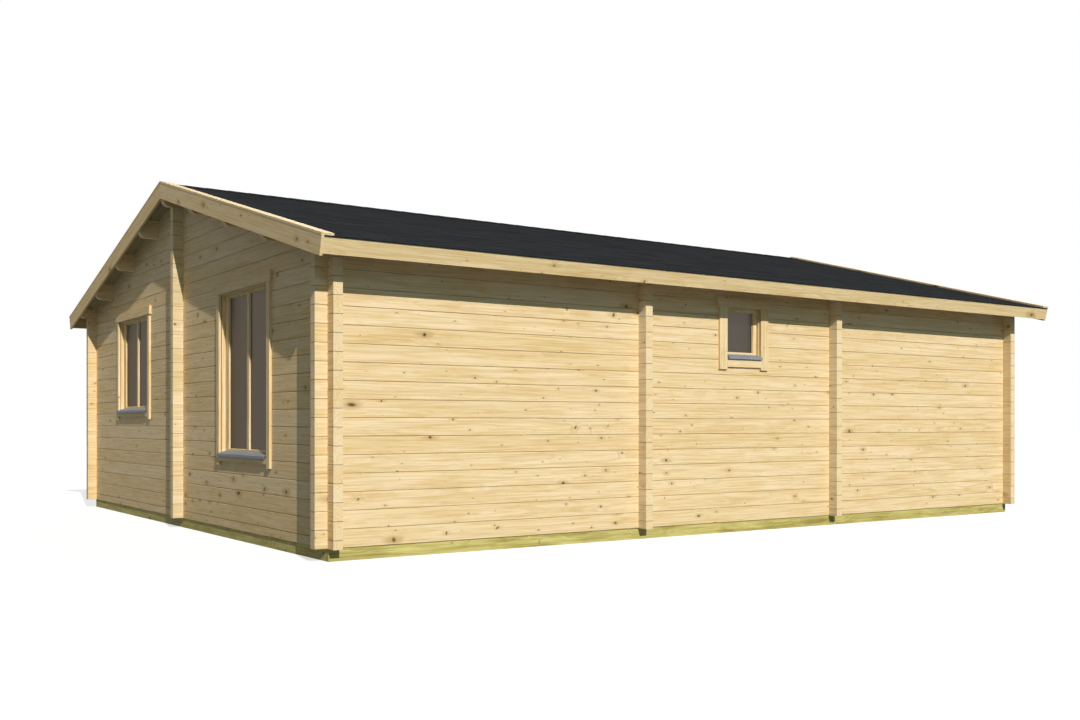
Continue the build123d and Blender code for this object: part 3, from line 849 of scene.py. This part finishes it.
def lay_course(mesh, course, down, up):
    """One course of tabs, counted from the eave."""
    lower = RIDGE + down * (eave - course * TAB_EXPOSED)
    left = roof_low.x - TAB_WIDTH * (course % 2) / 2
    while left < roof_high.x:
        first = max(left, roof_low.x)
        last = min(left + TAB_WIDTH - TAB_SLOT, roof_high.x)
        if last - first > TAB_SLOT:
            prism(mesh, tab_outline, lower + ALONG_X * first, down, up, ALONG_X * (last - first))
        left += TAB_WIDTH


for side, name in SLOPES:
    down, up = slope_axes(side)
    cover = bmesh.new()
    prism(cover, sheet_outline, RIDGE + ALONG_X * roof_low.x, down, up, ALONG_X * roof_length)
    for course in range(math.floor((eave - TAB_TUCK) / TAB_EXPOSED)):
        lay_course(cover, course, down, up)
    piece(f"{name}_felt_tabs", cover, mineral_felt, "roofing_felt", f"{name}_roofing")

# %% [markdown]
# Caps bent over the ridge close the roof. Each laps over the next, so it tilts by its own thickness.

# %% Lay the ridge caps
CAP_LENGTH = 0.200
CAP_REACH = 0.150
CAP_LAP = 1.3
drop = CAP_REACH * math.tan(PITCH)
peak = TAB_THICKNESS / math.cos(PITCH)
cap_outline = [(-CAP_REACH, -drop), (0.0, 0.0), (CAP_REACH, -drop), (CAP_REACH, peak - drop), (0.0, peak),
               (-CAP_REACH, peak - drop)]
caps = bmesh.new()
for row in range(math.floor(roof_length / CAP_LENGTH)):
    start = RIDGE + ALONG_X * (roof_low.x + row * CAP_LENGTH) + UPWARDS * TAB_THICKNESS
    length = min(CAP_LENGTH * CAP_LAP, roof_high.x - start.x)
    prism(caps, cap_outline, start, ALONG_Y, UPWARDS, ALONG_X * length - UPWARDS * TAB_THICKNESS)
piece("ridge_caps", caps, mineral_felt, "roofing_felt")

# %% [markdown]
# ## The floor
# Each room has a deck of boards. Lines in its finish could stand for the joints of the CAD floor, which
# is one slab a room. Real boards keep their joints from any side, so they are laid here, along X, in the
# same way as the roof boards.

# %% Lay the floor boards
FLOOR_BOARD = 0.110
FLOOR_EASE = BOARD_EASE / 2
FLOOR_RUN = 1.14
RUN_STRIDE = 100.0
FLOOR_SEED = 71.0


def floor_grain(x, y, z):
    """Boards along X, numbered across the cabin."""
    row = (y / FLOOR_BOARD).floor()
    return x, y - (row + HALFWAY) * FLOOR_BOARD, z, row + (x / FLOOR_RUN).floor() * RUN_STRIDE


floor_spruce = spruce("floor_spruce", floor_grain, FLOOR_SEED)
floor = bmesh.new()
for low, high in touching_boxes("floor_boards"):
    room = high - low
    lay_boards(floor, low, ALONG_Y, UPWARDS, ALONG_X * room.x, room.y, FLOOR_BOARD, room.z,
               FLOOR_EASE, SHOWN_ABOVE)
piece("room_floor_boards", floor, floor_spruce, "floor_timber", "floor_boards")

# %% [markdown]
# ## Windows
# Frames, sashes and trim are spruce again, but their boards run two ways: uprights stand and rails lie.
# Between the lowest and highest edge of the glass a frame or sash is upright, and above and below it is a
# rail, so a mask of height swaps the along and across directions of the grain. Trim boards are separate
# solids, so each one's own box says which way it is longer, and its fibres run that way.

# %% Grain of the window joinery
BOARD_SLACK = 0.0005
JOINERY_STRETCH = 0.4
RAIL_LEVEL = 1.0
UPRIGHTS_A_METRE = 4.0
RAILS_A_METRE = 3.0
WINDOW_STRIDE = 20.0


def joinery_grain(axis, middle, low, high):
    """Grain of a ring of uprights and rails round an opening, on a wall that runs along axis."""

    def grain(x, y, z):
        flat, deep = (x, y) if axis == "X" else (y, x)
        off = (flat.size() - middle) if middle else flat
        upright = (z > low) * (z < high)
        lying = 1 - upright
        along = flat * lying + z * upright
        across = (z - RAIL_LEVEL) * lying + off * upright
        number = (off * UPRIGHTS_A_METRE).floor() * upright + (z * RAILS_A_METRE).floor() * lying
        return along, across * JOINERY_STRETCH, deep * JOINERY_STRETCH, number + flat.sign() * WINDOW_STRIDE

    return grain


def board_grain(boxes, axis):
    """Grain of separate boards on a wall that runs along axis: fibres run along a board's longer side."""

    def grain(x, y, z):
        flat, deep = (x, y) if axis == "X" else (y, x)
        along = across = number = flat * 0.0
        for index, (low, high) in enumerate(boxes):
            start, end = (low.x, high.x) if axis == "X" else (low.y, high.y)
            inside = (flat > start - BOARD_SLACK) * (flat < end + BOARD_SLACK)
            inside = inside * (z > low.z) * (z < high.z + BOARD_SLACK) * (1 - number.sign())
            if high.z - low.z > end - start:
                length, breadth = z, flat - (start + end) / 2
            else:
                length, breadth = flat, z - (low.z + high.z) / 2
            along = along + inside * length
            across = across + inside * breadth
            number = number + inside * (index + 1.0)
        return along, across, deep * JOINERY_STRETCH, number

    return grain


# %% Finish the window joinery
JOINERY_SEED = 101.0
JOINERY_KNOTS = 0.2
TRIM_SEED = 131.0
TRIM_KNOTS = 0.5
WINDOW_SEED_STEP = 7.0
PANES_A_WINDOW = 2
front_panes = touching_boxes("left_window_panes")[-PANES_A_WINDOW:]
GABLE_WINDOW = (min(low.y for low, _ in front_panes) + max(high.y for _, high in front_panes)) / 2
WINDOWS = {"back": ("X", 0.0), "left": ("Y", GABLE_WINDOW), "right": ("Y", GABLE_WINDOW)}
print("gable windows", round(GABLE_WINDOW, PRINTED_DIGITS), "m off the ridge")

for number, (group, (axis, middle)) in enumerate(WINDOWS.items()):
    step = WINDOW_SEED_STEP * number
    low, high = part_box(f"{group}_window_panes")
    grain = joinery_grain(axis, middle, low.z, high.z)
    joinery = spruce(f"{group}_joinery_spruce", grain, JOINERY_SEED + step, knots=JOINERY_KNOTS)
    grain = board_grain(touching_boxes(f"{group}_window_trim"), axis)
    trim = spruce(f"{group}_trim_spruce", grain, TRIM_SEED + step, knots=TRIM_KNOTS)
    wear(f"{group}_window_frames", joinery)
    wear(f"{group}_window_sashes", joinery)
    wear(f"{group}_window_trim", trim)

# %% [markdown]
# The rooms behind the panes are dim, so a pane shows a dark brown grey with a soft reflection. Clear
# glass would need a lit room behind it and brings noise, so the pane is a weak brown mirror instead, a
# little blurred, whose dark brown grey is painted shade of the dim room. The sills are folded sheet with a
# blue-grey coat, whose gloss is never quite even.

# %% Glass and sills
GLASS_ROOM_SHADE = (0.122, 0.105, 0.086)
GLASS_EDGE = (0.534, 0.513, 0.482)
GLASS_ROUGHNESS = 0.34
GLASS_COVER = 0.97
SILL_DARK = (0.258, 0.268, 0.286)
SILL_PALE = (0.298, 0.309, 0.328)
SILL_CLOUD = Figure((40.0, 40.0, 40.0), 3.0)
SILL_LEVELS = (0.3, 0.7)
SILL_ROUGHNESS = 0.50
SILL_UNEVEN = 0.12
SILL_SPECULAR = 0.12


def glass():
    """Window glass in front of a dim room, whose shade is painted into the pane's colour."""
    material, shader, _ = new_finish("pane_glass")
    feed(shader.inputs["Base Color"], GLASS_ROOM_SHADE)
    feed(shader.inputs["Metallic"], 1.0)
    feed(shader.inputs["Specular Tint"], GLASS_EDGE)
    feed(shader.inputs["Roughness"], GLASS_ROUGHNESS)
    feed(shader.inputs["Alpha"], GLASS_COVER)
    return material


def sill_metal():
    """Blue-grey coated sheet, a little uneven in its gloss."""
    material, shader, place = new_finish("sill_sheet")
    cloud = grow(place, SILL_CLOUD, *place.parts())
    feed(shader.inputs["Base Color"], cloud.fade(*SILL_LEVELS).tint(SILL_DARK, SILL_PALE))
    feed(shader.inputs["Roughness"], SILL_ROUGHNESS + cloud * SILL_UNEVEN)
    feed(shader.inputs["Specular IOR Level"], SILL_SPECULAR)
    return material


pane_glass = glass()
sill_sheet = sill_metal()
for group in WINDOWS:
    wear(f"{group}_window_panes", pane_glass)
    wear(f"{group}_window_sills", sill_sheet)

# %% [markdown]
# A pane is held by thin beads round the glass on its outer side, which give the windows their stepped
# edge. They are too fine for the CAD model, so they are swept here from the panes' own boxes.

# %% Glazing beads
BEAD = 0.005
BEAD_LIP = 0.35
bead_outline = [(0.0, 0.0), (BEAD, 0.0), (BEAD * BEAD_LIP, BEAD), (0.0, BEAD)]


def glazing_beads(group):
    """Four beads in front of each pane of a group of windows."""
    beads = bmesh.new()
    for low, high in touching_boxes(f"{group}_window_panes"):
        middle = (low + high) / 2
        if high.x - low.x < high.y - low.y:
            outwards = ALONG_X * math.copysign(1.0, middle.x)
            flat = ALONG_Y
        else:
            outwards = ALONG_Y * math.copysign(1.0, middle.y)
            flat = ALONG_X
        half = (high - low).dot(flat) / 2
        rise = UPWARDS * ((high.z - low.z) / 2)
        front = middle + outwards * (abs((high - low).dot(outwards)) / 2)
        for side in (-1, 1):
            corner = front + flat * (side * half) - rise
            prism(beads, bead_outline, corner, flat * -side, outwards, rise * 2)
            corner = front + rise * side - flat * (half - BEAD)
            prism(beads, bead_outline, corner, UPWARDS * -side, outwards, flat * (2 * half - 2 * BEAD))
    return beads


for group in WINDOWS:
    bead_spruce = nodes[f"{group}_window_sashes"].data.materials[0]
    piece(f"{group}_glazing_beads", glazing_beads(group), bead_spruce, "joinery_spruce")

# %% [markdown]
# ## The door
# The entrance is on the side that faces away. Its leaf is a plain boarded one: upright boards with a V at
# each joint, in a spruce frame. The grooves could be a bump, but the helper for boards is there already,
# so the leaf's boards are laid like the floor's, standing up.

# %% Finish the door
DOOR_BOARD = 0.101
HEAD_STRETCH = 0.3
DOOR_SEED = 151.0
DOOR_KNOTS = 0.6
leaf_low, leaf_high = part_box("front_door_leaf")
leaf_size = leaf_high - leaf_low


def door_grain(x, y, z):
    """Uprights and the head of the door's frame, and its upright boards."""
    upright = z < leaf_high.z
    lying = 1 - upright
    row = (x / DOOR_BOARD).floor()
    across = (x - (row + HALFWAY) * DOOR_BOARD) * upright + z * HEAD_STRETCH * lying
    return z * upright + x * lying, across, y * JOINERY_STRETCH, row


door_spruce = spruce("door_spruce", door_grain, DOOR_SEED, knots=DOOR_KNOTS)
wear("front_door_frame", door_spruce)
wear("front_door_trim", door_spruce)
leaf = bmesh.new()
lay_boards(leaf, leaf_low, ALONG_X, ALONG_Y, UPWARDS * leaf_size.z, leaf_size.x, DOOR_BOARD, leaf_size.y,
           BOARD_EASE, SHOWN_ABOVE)
piece("front_door_boards", leaf, door_spruce, "joinery_spruce", "front_door_leaf")

# %% [markdown]
# The handle is brushed steel. Brushing leaves fine marks along the lever. They could be a picture of
# scratches, but noise drawn out that way needs none, and the same marks make the steel lighter and
# rougher.

# %% Finish the handle
BRUSH_MARKS = Figure((60.0, 900.0, 900.0), 2.0)
STEEL_DARK = (0.42, 0.42, 0.43)
STEEL_PALE = (0.62, 0.62, 0.63)
STEEL_ROUGHNESS = 0.28
MARK_ROUGHNESS = 0.15


def handle_steel():
    """Brushed steel, its brush marks along the lever."""
    material, shader, place = new_finish("handle_brushed_steel")
    marks = grow(place, BRUSH_MARKS, *place.parts())
    feed(shader.inputs["Base Color"], marks.tint(STEEL_DARK, STEEL_PALE))
    feed(shader.inputs["Metallic"], 1.0)
    feed(shader.inputs["Roughness"], STEEL_ROUGHNESS + marks * MARK_ROUGHNESS)
    return material


wear("front_door_handle", handle_steel())

# %% [markdown]
# ## Ground and background
# The cabin stands on a plain pale floor that runs into a white background. A studio would hang a curved
# sheet. Here the floor is flat, and what the camera sees of it, by itself or in a reflection, is lifted
# to white. For all other light the floor is dull, because a white one would throw far more light up under
# the eaves than the photo shows.

# %% Ground
GROUND_REACH = 60.0
GROUND_DROP = 0.001
GROUND_DULL = (0.132, 0.178, 0.205)
GROUND_PALE = (0.50, 0.50, 0.50)
GROUND_GLOW = 0.64
WHITE = (1.0, 1.0, 1.0)


def seen_directly(wire):
    """1 for what the camera sees, by itself or through glass or a reflection."""
    path = wire.node("LightPath")
    seen = path["Is Camera Ray"] + path["Is Glossy Ray"] + path["Is Transmission Ray"]
    return seen.math("MINIMUM", seen, 1.0)


ground_data = bpy.data.meshes.new("ground")
corners = [(-GROUND_REACH, -GROUND_REACH), (GROUND_REACH, -GROUND_REACH), (GROUND_REACH, GROUND_REACH),
           (-GROUND_REACH, GROUND_REACH)]
ground_data.from_pydata([(x, y, -GROUND_DROP) for x, y in corners], [], [(0, 1, 2, 3)])
ground = bpy.data.objects.new("ground", ground_data)
bpy.context.scene.collection.objects.link(ground)

ground_finish, _, ground_place = new_finish("pale_ground")
dull = ground_place.node("BsdfDiffuse", None, Color=GROUND_DULL)
pale = ground_place.node("BsdfDiffuse", None, Color=GROUND_PALE)
glow = ground_place.node("Emission", None, Color=WHITE, Strength=GROUND_GLOW)
lifted = ground_place.node("AddShader", None, pale, glow)
ground_mix = ground_place.node("MixShader", None, seen_directly(ground_place), dull, lifted)
output = next(node for node in ground_finish.node_tree.nodes if node.type == "OUTPUT_MATERIAL")
feed(output.inputs["Surface"], ground_mix)
ground_data.materials.append(ground_finish)
print("ground reaches", GROUND_REACH, "m each way")

# %% [markdown]
# ## Light
# A picture of a sky could light the cabin, but lamps can be set one by one against the photo. A key from
# behind the camera's right shoulder lights the back wall squarely and grazes the gable, as in the photo,
# and it is as small as the sun, so that its shadows are crisp. A weaker fill from the far side keeps the
# front from being lost. A weak cool light from low down stands for the open sky near the horizon, so that
# the shade isn't brown from the wood's own reflections. The world is a soft even light, and white where
# the camera sees it.

# %% Lamps
KEY_TRAVEL = Vector((0.203, 1.0, -0.645))
KEY_STRENGTH = 3.24
KEY_SPREAD = math.radians(0.5)
FILL_TRAVEL = Vector((-0.55, -0.75, -0.60))
FILL_STRENGTH = 0.9
FILL_SPREAD = math.radians(30.0)
LOW_TRAVEL = Vector((0.0, 1.0, -0.10))
LOW_STRENGTH = 0.28
LOW_SPREAD = math.radians(70.0)
LOW_COLOUR = (0.18, 0.76, 1.0)


def sun(name, travel, strength, spread, colour=WHITE):
    """A distant lamp whose light travels along a direction."""
    lamp = bpy.data.lights.new(name, "SUN")
    lamp.energy = strength
    lamp.color = colour
    lamp.angle = spread
    made = bpy.data.objects.new(name, lamp)
    made.rotation_euler = travel.to_track_quat("-Z", "Y").to_euler()
    bpy.context.scene.collection.objects.link(made)
    print(name, "travels", rounded(travel.normalized()))


sun("key_light", KEY_TRAVEL, KEY_STRENGTH, KEY_SPREAD)
sun("fill_light", FILL_TRAVEL, FILL_STRENGTH, FILL_SPREAD)
sun("low_light", LOW_TRAVEL, LOW_STRENGTH, LOW_SPREAD, LOW_COLOUR)

# %% World
SKY_STRENGTH = 0.190
SKY_COLOUR = (0.900, 0.915, 0.905)

world = bpy.data.worlds.new("white_studio")
bpy.context.scene.world = world
world.use_nodes = True
background = next(node for node in world.node_tree.nodes if node.type == "BACKGROUND")
direct = seen_directly(Wire(background.outputs[0]))
feed(background.inputs["Color"], direct.tint(SKY_COLOUR, WHITE))
feed(background.inputs["Strength"], direct * (1.0 - SKY_STRENGTH) + SKY_STRENGTH)
bpy.context.scene.view_settings.view_transform = "Standard"
print("sky strength", SKY_STRENGTH)
